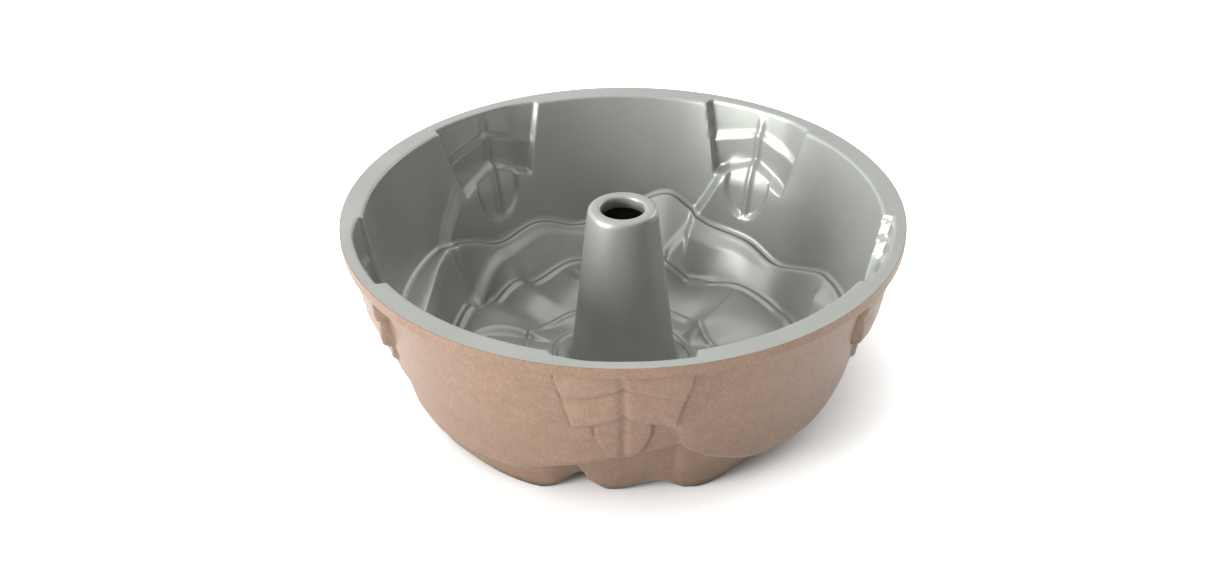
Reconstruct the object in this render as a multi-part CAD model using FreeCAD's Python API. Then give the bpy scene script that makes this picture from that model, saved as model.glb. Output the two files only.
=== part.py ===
import FreeCAD, Part
import math
import os

# A rose-shaped ring cake pan: one thick aluminium casting with a non-stick lining on the
# cooking side and a metallic coating outside.  It has no handles and nothing moves.
#
# The frame: +Z is the axis of the centre tube and points out of the pan's mouth.  The origin
# is on that axis, in the plane that the pan stands on, and the rim is at the top.  Angles
# run anticlockwise from above, with 0 at the front (-Y) and 90 at the right (+X).
#
# The whole relief is one family of profiles.  cavity_profile(angle) walks from the rim, down
# the petals and up the centre tube, and each of its stations also says which way the metal
# lies.  The other surfaces are that same walk, moved by the wall and the coatings, so the
# three solids share their faces exactly.

# ---- driving dimensions, in millimetres and degrees ----
RIM_RADIUS = 127.0          # a ten-inch pan
HEIGHT = 88.5               # resting plane to rim
WALL = 3.5                  # cast wall, across and downwards
LINING = 0.25               # non-stick lining with its primer
FINISH = 0.25               # metallic coating outside
RIM_THICKNESS = 5.2
RIM_ROUNDING = 1.2
RIM_OVERHANG = 2.1          # the rim stands this far past the metal behind a leaf
LAND_CLEARANCE = 0.25       # from the rim's flat ring to where the mouth turns down at a leaf
MOUTH_ROUNDING = 1.6        # where the rim turns down into the cavity
UNDER_RIM_ROUNDING = 0.9
WALL_DRAFT = 0.20           # radius lost for each millimetre down the outer petals

TUBE_RADIUS = 15.9          # centre tube, outside, just under its lip
TUBE_DRAFT = 0.112          # radius gained for each millimetre down
TUBE_LIP = 4.0              # height of the tube's rounded lip
TUBE_LIP_WIDTH = 5.9        # from the bore to the outside of the tube
TUBE_LIP_ROUNDING = 1.6
BORE_LENGTH = 3.0           # how far the lining goes down the bore
BORE_ROUNDING = 0.8
CEILING_THICKNESS = 3.0     # bare metal under the lining in the bore
CEILING_ROUNDING = 0.4
TUBE_FOOT_RISE = 3.0        # the tube's foot lies this far over the cavity's lowest points
TUBE_FOOT_ROUNDING = 4.5

# ---- the leaves, one at each joint of two outer petals ----
LEAVES = 5
LEAF_RELIEF = 4.4           # how far a leaf stands out of the petals
LEAF_HALF_ANGLE = 14.2      # at the rim
LEAF_TAPER = 0.105          # half angle lost for each millimetre down
LEAF_TIP_HALF_ANGLE = 6.2
FIRST_VEIN_DEPTH = 10.5     # at the midrib; the veins fall away to both sides
SECOND_VEIN_DEPTH = 26.0
LEAF_SHOULDER_DEPTH = 37.0
LEAF_LENGTH = 54.0
VEIN_1_FALL = 9.5
VEIN_2_FALL = 12.0
VEIN_STEP = 1.6             # the first lobes stand this far over the second
LOBE_LENGTH = 15.0
TIP_RELIEF = 1.9            # the tip lobe lies lower than the others
LEAF_LEE = 0.45             # share of the relief lost along the leaf's earlier side
MIDRIB_DEPTH = 1.1
RELIEF_EDGE = 2.6           # width over which a leaf's edge comes up

# ---- the petals' edges, row by row from the rim inwards ----
# The pattern's depths and radii are those of this cavity.  They stretch with a deeper one and
# spread with a wider one.
PATTERN_DEPTH = 85.0
PATTERN_TUBE_FOOT = 25.1    # radius of the tube's foot
PATTERN_BASE = 100.0        # radius at which the outer petals' slope would meet the floor
# The first row meets in front of each leaf, so its edge is lowest between the leaves.
EDGE_1_DEPTH = [(3, 54.0), (12, 52.0), (20, 60.0), (34, 68.5), (48, 68.5), (64, 61.0), (78, 57.0),
                (92, 55.0), (108, 57.5), (118, 64.0), (130, 70.5), (141, 65.0), (152, 62.5),
                (160, 56.5), (167, 50.0), (176, 56.0), (193, 66.5), (206, 61.0), (218, 65.5),
                (229, 58.0), (238, 53.0), (262, 55.0), (278, 58.0), (298, 60.0), (314, 70.0),
                (332, 70.0), (347, 62.0)]
LEDGE_1_WIDTH = [(0, 5.0), (60, 5.0), (120, 4.6), (180, 4.6), (232, 5.0), (262, 13.0), (300, 6.0)]
# The second and third rows ruffle freely.
EDGE_2_DEPTH = [(357, 85.6), (369, 80.5), (380, 87.0), (391, 83.0), (407, 79.5), (420, 84.0),
                (436, 81.5), (452, 84.5), (466, 80.0), (479, 83.5), (496, 81.5), (513, 87.0),
                (526, 76.0), (541, 83.5), (558, 79.0), (573, 84.5), (580, 80.0), (593, 87.0),
                (602, 80.0), (616, 84.0), (630, 81.5), (643, 79.0), (657, 84.0), (675, 83.5),
                (698, 87.0), (708, 79.0)]
EDGE_2_RADIUS = [(0, 89.5), (20, 92.5), (40, 92.5), (70, 91.0), (100, 88.5), (122, 91.0), (145, 89.0),
                 (165, 88.0), (190, 90.5), (212, 88.5), (232, 91.0), (260, 89.0), (285, 91.0),
                 (310, 94.5), (338, 95.5), (350, 90.5)]
EDGE_3_DEPTH = [(10, 83.0), (34, 80.0), (60, 84.0), (85, 80.5), (104, 83.5), (118, 79.5),
                (139, 84.0), (163, 81.0), (190, 84.0), (212, 82.0), (232, 84.5), (262, 80.5),
                (285, 83.5), (316, 80.5)]
EDGE_3_RADIUS = [(0, 49.0), (45, 51.5), (100, 48.5), (112, 46.0), (138, 50.5), (165, 47.0), (200, 48.0),
                 (225, 50.0), (250, 52.0), (290, 49.0), (325, 51.5)]
EDGE_4_DEPTH = [(0, 81.5), (40, 84.0), (80, 81.0), (125, 84.0), (170, 81.0), (215, 84.0),
                (265, 81.0), (310, 84.0)]
EDGE_4_RADIUS = [(20, 35.0), (65, 37.0), (110, 34.5), (155, 36.5), (200, 35.0), (245, 37.0),
                 (290, 35.0), (335, 36.5)]
LEDGE_2_WIDTH = 5.0
LEDGE_3_WIDTH = 4.2
LEDGE_4_WIDTH = 3.2
LEDGE_RISE = 1.0            # the ledge's inner lip stands above its outer corner
LEDGE_EASE = 0.25           # how tightly its two edges turn
LIP_DRAFT = 0.6             # the next row leans in by this much as it leaves the lip
CORNER = 1.4                # height over which a row turns into its ledge
FLOOR_CORNER = 0.5

# One side of each petal is free and stands over its neighbour.  Each free side has its angle
# at the top of the row and its angle at the edge.
FREE_SIDES_1 = [(9, 15), (81, 88), (151, 160), (228, 240), (297, 304)]
FREE_SIDES_2 = [(-12, -9), (47, 52), (107, 98), (159, 166), (218, 239), (283, 288)]
FREE_SIDES_3 = [(-50, -56), (20, 12), (72, 62), (137, 126), (205, 196), (262, 252)]
OVERLAP_1 = 3.8             # how far a free side stands over its neighbour
OVERLAP_2 = 4.6
OVERLAP_3 = 3.6
OVERLAP_EDGE = 3.2          # width, in degrees, of the side face of an overlap
OVERLAP_ONSET = 4.0         # the inner rows' overlaps are whole after one part in this many of a row
OVERLAP_1_TOP = 24.0        # the first row's overlap grows between these two depths
OVERLAP_1_FULL = 40.0
FLOOR_HUMP = 3.0            # the third row's petals are cupped by this much

# ---- how finely the relief is described ----
COLUMNS = 240
WALL_1_ROWS = 22
WALL_2_ROWS = 9
FLOOR_3_ROWS = 10
FLOOR_4_ROWS = 5
TUBE_ROWS = 9
RIM_STATIONS = 5            # stations of the cavity that lie within the rim's thickness
SEAM = 1e-5                 # gap that may be left where two faces meet

# ---- sizes that follow ----
PITCH = 360.0 / LEAVES
MOUTH_RADIUS = RIM_RADIUS - RIM_OVERHANG - WALL - LEAF_RELIEF
LAND_EDGE = MOUTH_RADIUS + LEAF_RELIEF + MOUTH_ROUNDING + LAND_CLEARANCE
CAVITY_DEPTH = HEIGHT - WALL
BASE_RADIUS = MOUTH_RADIUS - WALL_DRAFT * CAVITY_DEPTH
TUBE_FOOT_DEPTH = CAVITY_DEPTH - TUBE_FOOT_RISE
TUBE_FOOT_RADIUS = TUBE_RADIUS + TUBE_DRAFT * TUBE_FOOT_DEPTH
BORE_RADIUS = TUBE_RADIUS - TUBE_LIP_WIDTH
CEILING_DEPTH = BORE_LENGTH + CEILING_THICKNESS
STRETCH = CAVITY_DEPTH / PATTERN_DEPTH
SPREAD = (BASE_RADIUS - TUBE_FOOT_RADIUS) / (PATTERN_BASE - PATTERN_TUBE_FOOT)

OUT = (1.0, 1.0)            # the metal lies outwards and downwards
DOWN = (0.0, 1.0)
INWARD = (-1.0, 0.0)        # the metal lies towards the tube's axis


# ---- small curves ----
def smooth(x):
    x = max(0.0, min(1.0, x))
    return x * x * (3.0 - 2.0 * x)


def rise(x, width):
    """0 to 1 as x passes 0, over a given width."""
    return smooth(x / width + 0.5)


def mix(a, b, share):
    return a + (b - a) * share


def wave(points, angle):
    """A smooth closed curve around the axis through (angle, value) points."""
    count = len(points)
    angle = (angle - points[0][0]) % 360.0 + points[0][0]
    index = max(i for i in range(count) if points[i][0] <= angle)

    def knot(i):
        turn, place = divmod(i, count)
        return points[place][0] + turn * 360.0, points[place][1]

    def slope(i):
        (x0, y0), (x1, y1), (x2, y2) = knot(i - 1), knot(i), knot(i + 1)
        left = (y1 - y0) / (x1 - x0)
        right = (y2 - y1) / (x2 - x1)
        return 0.0 if left * right <= 0 else 2.0 * left * right / (left + right)

    x0, y0 = knot(index)
    x1, y1 = knot(index + 1)
    span = x1 - x0
    t = (angle - x0) / span
    ease = smooth(t)
    start = t * (1 - t) ** 2 * span * slope(index)
    end = t * t * (t - 1) * span * slope(index + 1)
    return mix(y0, y1, ease) + start + end


# ---- the leaf ----
def leaf_relief(angle, depth):
    """How far the wall is pushed out at a leaf: three pairs of lobes and a midrib."""
    side = (angle + PITCH / 2) % PITCH - PITCH / 2
    across = abs(side)
    degree = math.radians(1.0) * MOUTH_RADIUS
    depth = depth / STRETCH
    half = LEAF_HALF_ANGLE - LEAF_TAPER * depth
    vein_1 = FIRST_VEIN_DEPTH + VEIN_1_FALL * (across / LEAF_HALF_ANGLE) ** 0.8
    vein_2 = SECOND_VEIN_DEPTH + VEIN_2_FALL * (across / LEAF_HALF_ANGLE) ** 0.8
    beyond = max(0.0, depth - LEAF_SHOULDER_DEPTH) / (LEAF_LENGTH - LEAF_SHOULDER_DEPTH)
    tip_half = LEAF_TIP_HALF_ANGLE * math.sqrt(max(0.0, 1.0 - beyond ** 2))
    blade = rise((half - across) * degree, RELIEF_EDGE) * rise(vein_2 - depth, RELIEF_EDGE)
    tip = rise((tip_half - across) * degree, RELIEF_EDGE) * rise(LEAF_LENGTH - depth, RELIEF_EDGE)
    lobe_1 = LEAF_RELIEF + 0.5 * min(1.0, depth / vein_1)
    lobe_2 = LEAF_RELIEF + 0.5 - VEIN_STEP * max(0.0, 1.0 - (depth - vein_1) / LOBE_LENGTH)
    upper = mix(lobe_1, lobe_2, rise(depth - vein_1, 1.6))
    lee = 1.0 - LEAF_LEE * smooth((side + 6.0) / -9.0)
    rib = MIDRIB_DEPTH * math.exp(-(across * degree / 1.8) ** 2) * smooth(depth / 8.0)
    return max(blade * (upper * lee - rib), tip * (TIP_RELIEF - rib))


# ---- the petals ----
def overlap(angle, free_sides, share, tuck):
    """0 on a petal's free side, 1 where its other side tucks under the next petal."""
    sides = [mix(top, foot, share) for top, foot in free_sides]
    for start, end in zip(sides, sides[1:] + [sides[0] + 360.0]):
        along = (angle - start) % 360.0
        if along < end - start:
            return (along / (end - start)) ** tuck * smooth((end - start - along) / OVERLAP_EDGE)
    return 0.0


def wall_1_radius(angle, depth):
    """The outer petals and their leaves."""
    drawn = depth / STRETCH
    grown = smooth((drawn - OVERLAP_1_TOP) / (OVERLAP_1_FULL - OVERLAP_1_TOP))
    share = (drawn - OVERLAP_1_TOP) / (wave(EDGE_1_DEPTH, angle) - OVERLAP_1_TOP)
    tucked = OVERLAP_1 * grown * overlap(angle, FREE_SIDES_1, share, 5)
    return MOUTH_RADIUS - WALL_DRAFT * depth + leaf_relief(angle, depth) - tucked


def tube_radius(depth):
    return TUBE_RADIUS + TUBE_DRAFT * depth


def edge_depth(points, angle):
    """The depth of a row's edge in this cavity."""
    return wave(points, angle) * STRETCH


def edge_radius(points, angle):
    """The radius of a row's edge in this cavity."""
    return TUBE_FOOT_RADIUS + (wave(points, angle) - PATTERN_TUBE_FOOT) * SPREAD


# ---- profiles: stations of (radius, depth under the rim, way to the metal) ----
def ledge(radius, depth, width, way):
    """From the foot of a row, across its ledge, to the lip where the next row starts."""
    inner = radius - width * SPREAD
    lip = depth - LEDGE_RISE
    return [(radius - LEDGE_EASE, depth, way), (mix(radius, inner, 0.5), mix(depth, lip, 0.4), way),
            (inner + LEDGE_EASE, lip, way), (inner - LIP_DRAFT, lip + CORNER, way)]


def cavity_profile(angle):
    mouth = wall_1_radius(angle, 0.0)
    stations = [(LAND_EDGE, 0.0, DOWN), (mix(LAND_EDGE, mouth + MOUTH_ROUNDING, 0.5), 0.0, DOWN),
                (mouth + MOUTH_ROUNDING, 0.0, DOWN), (mouth, 0.0, OUT)]

    foot_depth = edge_depth(EDGE_1_DEPTH, angle)
    for row in range(WALL_1_ROWS + 1):
        depth = mix(MOUTH_ROUNDING, foot_depth - CORNER, row / WALL_1_ROWS)
        stations.append((wall_1_radius(angle, depth), depth, OUT))
    stations += ledge(wall_1_radius(angle, foot_depth), foot_depth, wave(LEDGE_1_WIDTH, angle), OUT)

    radius, depth = stations[-1][:2]
    foot_radius = edge_radius(EDGE_2_RADIUS, angle)
    foot_depth = edge_depth(EDGE_2_DEPTH, angle)
    for row in range(1, WALL_2_ROWS + 1):
        share = row / WALL_2_ROWS
        tuck = OVERLAP_2 * overlap(angle, FREE_SIDES_2, share, 3) * smooth(share * OVERLAP_ONSET)
        reach = mix(radius, foot_radius, share) - tuck
        stations.append((reach, mix(depth, foot_depth - CORNER, share), OUT))
    stations += ledge(stations[-1][0] - WALL_DRAFT * CORNER, foot_depth, LEDGE_2_WIDTH, OUT)

    radius, depth = stations[-1][:2]
    foot_radius = edge_radius(EDGE_3_RADIUS, angle)
    foot_depth = edge_depth(EDGE_3_DEPTH, angle)
    for row in range(1, FLOOR_3_ROWS + 1):
        share = row / FLOOR_3_ROWS
        tuck = OVERLAP_3 * overlap(angle, FREE_SIDES_3, share, 2) * smooth(share * OVERLAP_ONSET)
        cup = FLOOR_HUMP * math.sin(math.pi * share)
        place = mix(depth, foot_depth, share) - cup - tuck
        stations.append((mix(radius, foot_radius, share), place, (1.0 - share, 1.0)))
    radius, depth = stations[-1][:2]
    stations += ledge(radius - LIP_DRAFT, depth + FLOOR_CORNER, LEDGE_3_WIDTH, DOWN)

    radius, depth = stations[-1][:2]
    foot_radius = edge_radius(EDGE_4_RADIUS, angle)
    foot_depth = edge_depth(EDGE_4_DEPTH, angle)
    for row in range(1, FLOOR_4_ROWS + 1):
        share = row / FLOOR_4_ROWS
        stations.append((mix(radius, foot_radius, share), mix(depth, foot_depth, share), DOWN))
    stations += ledge(foot_radius - LIP_DRAFT, foot_depth + FLOOR_CORNER, LEDGE_4_WIDTH, DOWN)

    bend = TUBE_FOOT_DEPTH - TUBE_FOOT_ROUNDING
    stations += [(TUBE_FOOT_RADIUS + TUBE_FOOT_ROUNDING, TUBE_FOOT_DEPTH, (-0.3, 1.0)),
                 (TUBE_FOOT_RADIUS, TUBE_FOOT_DEPTH - FLOOR_CORNER, (-0.8, 0.8)),
                 (tube_radius(bend), bend, (-1.0, 0.4))]
    for row in range(TUBE_ROWS + 1):
        depth = mix(bend - 1.5 * TUBE_FOOT_ROUNDING, 1.5 * TUBE_LIP, row / TUBE_ROWS)
        stations.append((tube_radius(depth), depth, INWARD))
    return [(radius, min(depth, CAVITY_DEPTH), way) for radius, depth, way in stations]


def tube_lip():
    """Over the tube's rounded lip and a little way down its bore."""
    shoulder = tube_radius(TUBE_LIP)
    crown = shoulder - TUBE_LIP_ROUNDING
    return [(shoulder, TUBE_LIP, INWARD), (mix(shoulder, crown, 0.2), 0.3 * TUBE_LIP, (-1.0, 1.0)),
            (crown, 0.0, DOWN), (mix(shoulder, BORE_RADIUS, 0.5), 0.0, DOWN),
            (BORE_RADIUS + BORE_ROUNDING, 0.0, DOWN), (BORE_RADIUS, BORE_ROUNDING, OUT),
            (BORE_RADIUS, BORE_LENGTH, (1.0, 0.0))]


def rim_band(angle):
    """Down the rim's outer side and back under it to the wall."""
    wall = wall_1_radius(angle, RIM_THICKNESS) + WALL
    side = RIM_THICKNESS - RIM_ROUNDING
    return [(RIM_RADIUS, 0.0, (1.0, 0.0)), (RIM_RADIUS, 0.4 * side, (1.0, 0.0)),
            (RIM_RADIUS, side, (1.0, 0.0)), (RIM_RADIUS, RIM_THICKNESS, OUT),
            (RIM_RADIUS - RIM_ROUNDING, RIM_THICKNESS, DOWN),
            (wall + UNDER_RIM_ROUNDING, RIM_THICKNESS, DOWN),
            (wall, RIM_THICKNESS + 0.5 * UNDER_RIM_ROUNDING, OUT)]


def tube_ceiling():
    """The top of the hollow inside the tube, in to the bore."""
    hollow = tube_radius(CEILING_DEPTH) - WALL
    edge = BORE_RADIUS + LINING
    return [(hollow, CEILING_DEPTH + CEILING_ROUNDING, INWARD),
            (hollow - CEILING_ROUNDING, CEILING_DEPTH, DOWN),
            (mix(hollow, edge, 0.5), CEILING_DEPTH, DOWN), (edge, CEILING_DEPTH, DOWN)]


def cavity_face(angle):
    return cavity_profile(angle) + tube_lip()


def lined_metal_face(angle):
    """The casting's cooking side, under the lining."""
    return [(radius + LINING * way[0], depth + LINING * way[1], way)
            for radius, depth, way in cavity_face(angle)]


def outside_face(angle):
    """The finished outside: the cavity moved by the wall."""
    moved = [(radius + WALL * way[0], depth + WALL * way[1], way)
             for radius, depth, way in cavity_profile(angle)[RIM_STATIONS:]]
    return rim_band(angle) + moved + tube_ceiling()


def finished_metal_face(angle):
    """The casting's outside, under the finish."""
    stations = [(radius - FINISH * way[0], depth - FINISH * way[1], way)
                for radius, depth, way in outside_face(angle)]
    return [(RIM_RADIUS - FINISH, LINING, DOWN)] + stations[1:]


# ---- solids ----
def surface(profile):
    """One smooth closed surface around the axis, with the profiles' stations as its poles."""
    poles = []
    for column in range(COLUMNS):
        angle = 360.0 * column / COLUMNS
        turn = math.radians(angle)
        poles.append([FreeCAD.Vector(radius * math.sin(turn), -radius * math.cos(turn), HEIGHT - depth)
                      for radius, depth, way in profile(angle)])
    rows = len(poles[0])
    around = list(range(COLUMNS + 1))
    along = list(range(rows - 2))
    spline = Part.BSplineSurface()
    spline.buildFromPolesMultsKnots(poles, [1] * len(around), [4] + [1] * (rows - 4) + [4],
                                    around, along, True, False, 3, 3)
    return spline.toShape()


def edge_at(face, first):
    """The face's closed edge at the start or the end of its profile."""
    spline = face.Surface
    at = spline.bounds()[2] if first else spline.bounds()[3]
    return spline.vIso(at).toShape()


def strip(edge_a, edge_b):
    return Part.makeRuledSurface(edge_a, edge_b)


def ring(outer_edge, inner_edge):
    """A flat face between two closed edges of one height."""
    return Part.Face([Part.Wire(outer_edge), Part.Wire(inner_edge)])


def closed(*faces):
    shell = Part.makeShell(list(faces))
    shell.sewShape()
    solid = Part.makeSolid(shell)
    solid.fix(SEAM, SEAM, SEAM)
    return solid


cavity = surface(cavity_face)
lined_metal = surface(lined_metal_face)
finished_metal = surface(finished_metal_face)
outside = surface(outside_face)

under_land = edge_at(finished_metal, True)
over_land = under_land.translated(FreeCAD.Vector(0.0, 0.0, LINING))
land = ring(over_land, edge_at(cavity, True))
land_metal = ring(under_land, edge_at(lined_metal, True))
finish_top = ring(edge_at(outside, True), over_land)
lining_side = strip(over_land, under_land)
bottom_of_lining = strip(edge_at(cavity, False), edge_at(lined_metal, False))
bottom_of_finish = strip(edge_at(finished_metal, False), edge_at(outside, False))
bore_wall = strip(edge_at(lined_metal, False), edge_at(finished_metal, False))

parts = {
    "aluminium_casting": closed(lined_metal, land_metal, finished_metal, bore_wall),
    "nonstick_lining": closed(cavity, land, land_metal, lined_metal, lining_side, bottom_of_lining),
    "metallic_finish": closed(outside, finished_metal, finish_top, lining_side, bottom_of_finish),
}

os.makedirs("parts", exist_ok=True)
for name, solid in parts.items():
    solid.exportStep("parts/" + name + ".step")
    print(name, solid.isValid(), round(solid.Volume / 1000.0, 2), "cm3")
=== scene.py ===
import math

import bpy
import numpy as np
from mathutils import Matrix, Vector


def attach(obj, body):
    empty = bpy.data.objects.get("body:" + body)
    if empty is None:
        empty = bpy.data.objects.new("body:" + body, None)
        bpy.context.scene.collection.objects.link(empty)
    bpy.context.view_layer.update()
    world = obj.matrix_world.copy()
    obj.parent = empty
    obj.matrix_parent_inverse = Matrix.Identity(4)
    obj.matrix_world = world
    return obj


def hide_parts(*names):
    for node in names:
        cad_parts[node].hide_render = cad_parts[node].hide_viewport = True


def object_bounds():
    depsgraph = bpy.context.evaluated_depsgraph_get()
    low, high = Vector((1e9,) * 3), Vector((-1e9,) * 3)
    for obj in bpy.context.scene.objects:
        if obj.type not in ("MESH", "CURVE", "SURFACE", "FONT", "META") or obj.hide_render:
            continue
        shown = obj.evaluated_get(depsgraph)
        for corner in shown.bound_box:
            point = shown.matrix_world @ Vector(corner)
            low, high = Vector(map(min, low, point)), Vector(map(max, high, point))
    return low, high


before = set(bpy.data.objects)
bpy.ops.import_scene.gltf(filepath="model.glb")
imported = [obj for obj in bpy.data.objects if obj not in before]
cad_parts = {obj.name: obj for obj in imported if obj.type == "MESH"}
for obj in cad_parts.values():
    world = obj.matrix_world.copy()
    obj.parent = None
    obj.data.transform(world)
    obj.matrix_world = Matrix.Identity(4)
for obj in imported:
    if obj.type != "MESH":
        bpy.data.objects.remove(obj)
CAD_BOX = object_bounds()

bl_info = {
    "name": "Rose ring cake pan",
    "version": (1, 0, 0),
    "blender": (4, 5, 0),
    "location": "View3D > Sidebar > Cake pan",
    "description": "Dresses the pan's CAD frame: its casting, non-stick lining, metallic finish and stage",
    "category": "Object",
}

# The relief is worked out in millimetres and degrees, as a pattern maker draws it, and the
# meshes are in metres.  Angles run anticlockwise from above, with 0 at the front (-Y).
MM = 0.001

# ---- the leaves, one at each joint of two outer petals ----
LEAVES = 5
PITCH = 360.0 / LEAVES
LEAF_HALF_ANGLE = 14.2      # at the rim
LEAF_TAPER = 0.105          # half angle lost for each millimetre down
LEAF_TIP_HALF_ANGLE = 6.2
FIRST_VEIN_DEPTH = 10.5     # at the midrib; the veins fall away to both sides
SECOND_VEIN_DEPTH = 26.0
LEAF_SHOULDER_DEPTH = 37.0
LEAF_LENGTH = 54.0
VEIN_1_FALL = 9.5
VEIN_2_FALL = 12.0
VEIN_CURVE = 0.8            # how the veins bend: 1 would fall evenly
VEIN_STEP = 1.6             # the first lobes stand this far over the second
LOBE_SWELL = 0.5            # the first lobes rise by this much towards their vein
LOBE_LENGTH = 15.0
TIP_RELIEF = 1.9            # the tip lobe lies lower than the others
LEAF_LEE = 0.45             # share of the relief lost along the leaf's earlier side
LEE_START = -6.0            # the angle from the leaf's middle where that loss begins
LEE_SPAN = 9.0              # and the angle over which it grows
RELIEF_EDGE = 1.7           # width over which a leaf's edge comes up
VEIN_EDGE = 1.0             # width over which a vein's step comes up
MIDRIB_WIDTH = 1.8
MIDRIB_ONSET = 8.0          # depth over which the midrib's groove begins
CREASE_DEPTH = 0.8          # the outside is grooved this deep along the lobes' edges
CREASE_WIDTH = 0.8          # half the width of such a groove

# ---- the petals' edges, row by row from the rim inwards: (angle, depth or radius) ----
PATTERN_DEPTH = 85.0
PATTERN_TUBE_FOOT = 25.1
PATTERN_BASE = 100.0
EDGE_1_DEPTH = [(3, 54.0), (12, 52.0), (20, 60.0), (34, 68.5), (48, 68.5), (64, 61.0), (78, 57.0),
                (92, 55.0), (108, 57.5), (118, 64.0), (130, 70.5), (141, 65.0), (152, 62.5),
                (160, 56.5), (167, 50.0), (176, 56.0), (193, 66.5), (206, 61.0), (218, 65.5),
                (229, 58.0), (238, 53.0), (262, 55.0), (278, 58.0), (298, 60.0), (314, 70.0),
                (332, 70.0), (347, 62.0)]
LEDGE_1_WIDTH = [(0, 5.0), (60, 5.0), (120, 4.6), (180, 4.6), (232, 5.0), (262, 13.0), (300, 6.0)]
EDGE_2_DEPTH = [(357, 85.6), (369, 80.5), (380, 87.0), (391, 83.0), (407, 79.5), (420, 84.0),
                (436, 81.5), (452, 84.5), (466, 80.0), (479, 83.5), (496, 81.5), (513, 87.0),
                (526, 76.0), (541, 83.5), (558, 79.0), (573, 84.5), (580, 80.0), (593, 87.0),
                (602, 80.0), (616, 84.0), (630, 81.5), (643, 79.0), (657, 84.0), (675, 83.5),
                (698, 87.0), (708, 79.0)]
EDGE_2_RADIUS = [(0, 89.5), (20, 92.5), (40, 92.5), (70, 91.0), (100, 88.5), (122, 91.0), (145, 89.0),
                 (165, 88.0), (190, 90.5), (212, 88.5), (232, 91.0), (260, 89.0), (285, 91.0),
                 (310, 94.5), (338, 95.5), (350, 90.5)]
EDGE_3_DEPTH = [(10, 83.0), (34, 80.0), (60, 84.0), (85, 80.5), (104, 83.5), (118, 79.5),
                (139, 84.0), (163, 81.0), (190, 84.0), (212, 82.0), (232, 84.5), (262, 80.5),
                (285, 83.5), (316, 80.5)]
EDGE_3_RADIUS = [(0, 49.0), (45, 51.5), (100, 48.5), (112, 46.0), (138, 50.5), (165, 47.0), (200, 48.0),
                 (225, 50.0), (250, 52.0), (290, 49.0), (325, 51.5)]
EDGE_4_DEPTH = [(0, 81.5), (40, 84.0), (80, 81.0), (125, 84.0), (170, 81.0), (215, 84.0),
                (265, 81.0), (310, 84.0)]
EDGE_4_RADIUS = [(20, 35.0), (65, 37.0), (110, 34.5), (155, 36.5), (200, 35.0), (245, 37.0),
                 (290, 35.0), (335, 36.5)]
LEDGE_2_WIDTH = 5.0
LEDGE_3_WIDTH = 4.2
LEDGE_4_WIDTH = 3.2
LEDGE_RISE = 1.6            # a ledge's inner lip stands above its outer corner
LEDGE_EASE = 0.7            # how gently its two edges turn
LIP_DRAFT = 0.6             # the next row leans in by this much as it leaves the lip
CORNER = 2.0                # height over which a row turns into its ledge
FLOOR_CORNER = 0.5

# One side of each petal is free and stands over its neighbour: (angle at the top, at the edge).
FREE_SIDES_1 = [(9, 15), (81, 88), (151, 160), (228, 240), (297, 304)]
FREE_SIDES_2 = [(-12, -9), (47, 52), (107, 98), (159, 166), (218, 239), (283, 288)]
FREE_SIDES_3 = [(-50, -56), (20, 12), (72, 62), (137, 126), (205, 196), (262, 252)]
OVERLAP_1 = 3.8
OVERLAP_2 = 4.6
OVERLAP_3 = 3.6
OVERLAP_EDGE = 2.6          # width, in degrees, of the side face of an overlap
OVERLAP_1_TOP = 24.0        # the first row's overlap grows between these two depths
OVERLAP_1_FULL = 40.0
OVERLAP_ONSET = 4.0
FLOOR_HUMP = 3.0

# ---- rim and tube ----
RIM_ROUNDING = 1.2
RIM_OVERHANG = 2.1
MOUTH_ROUNDING = 1.6
UNDER_RIM_ROUNDING = 0.9
WALL_START = 2.0            # the outside follows the cavity from this far above the rim's underside
WALL_DRAFT = 0.20
TUBE_DRAFT = 0.112
TUBE_LIP = 4.0
TUBE_LIP_WIDTH = 5.9
TUBE_LIP_ROUNDING = 1.6
BORE_LENGTH = 3.0
BORE_ROUNDING = 0.8
CEILING_THICKNESS = 3.0
CEILING_ROUNDING = 0.4
TUBE_FOOT_RISE = 3.0
TUBE_FOOT_ROUNDING = 4.5

OUT = (1.0, 1.0)            # the metal lies outwards and downwards
DOWN = (0.0, 1.0)
INWARD = (-1.0, 0.0)        # the metal lies towards the tube's axis

# ---- how finely the meshes are made ----
COLUMNS = 640
CASTING_COLUMNS = 320
LEAF_CROWDING = 2.2         # columns stand this many times closer at the leaves
LEAF_ZONE = 18.0            # half the angle that they do so over
MESH_RETURN = 26.0          # at this angle the mesh no longer follows the leaf
MESH_FOOT = 50.0            # and at this depth
WALL_1_ROWS = 56
WALL_2_ROWS = 16
FLOOR_3_ROWS = 12
FLOOR_4_ROWS = 5
TUBE_ROWS = 9
CASTING_INSET = 0.6         # the casting's hidden faces lie this far under its lining
CASTING_OUTER_INSET = 1.3   # and this far under its creased finish


# ---- what a user would change ----
CAD_HIGH = CAD_BOX[1]


def length(name, description, default):
    return bpy.props.FloatProperty(name=name, description=description, default=default, min=0.0,
                                   unit="LENGTH", precision=5)


def colour(name, description, default):
    return bpy.props.StringProperty(name=name, description=description + ", as an sRGB hex value",
                                    default=default)


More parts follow.
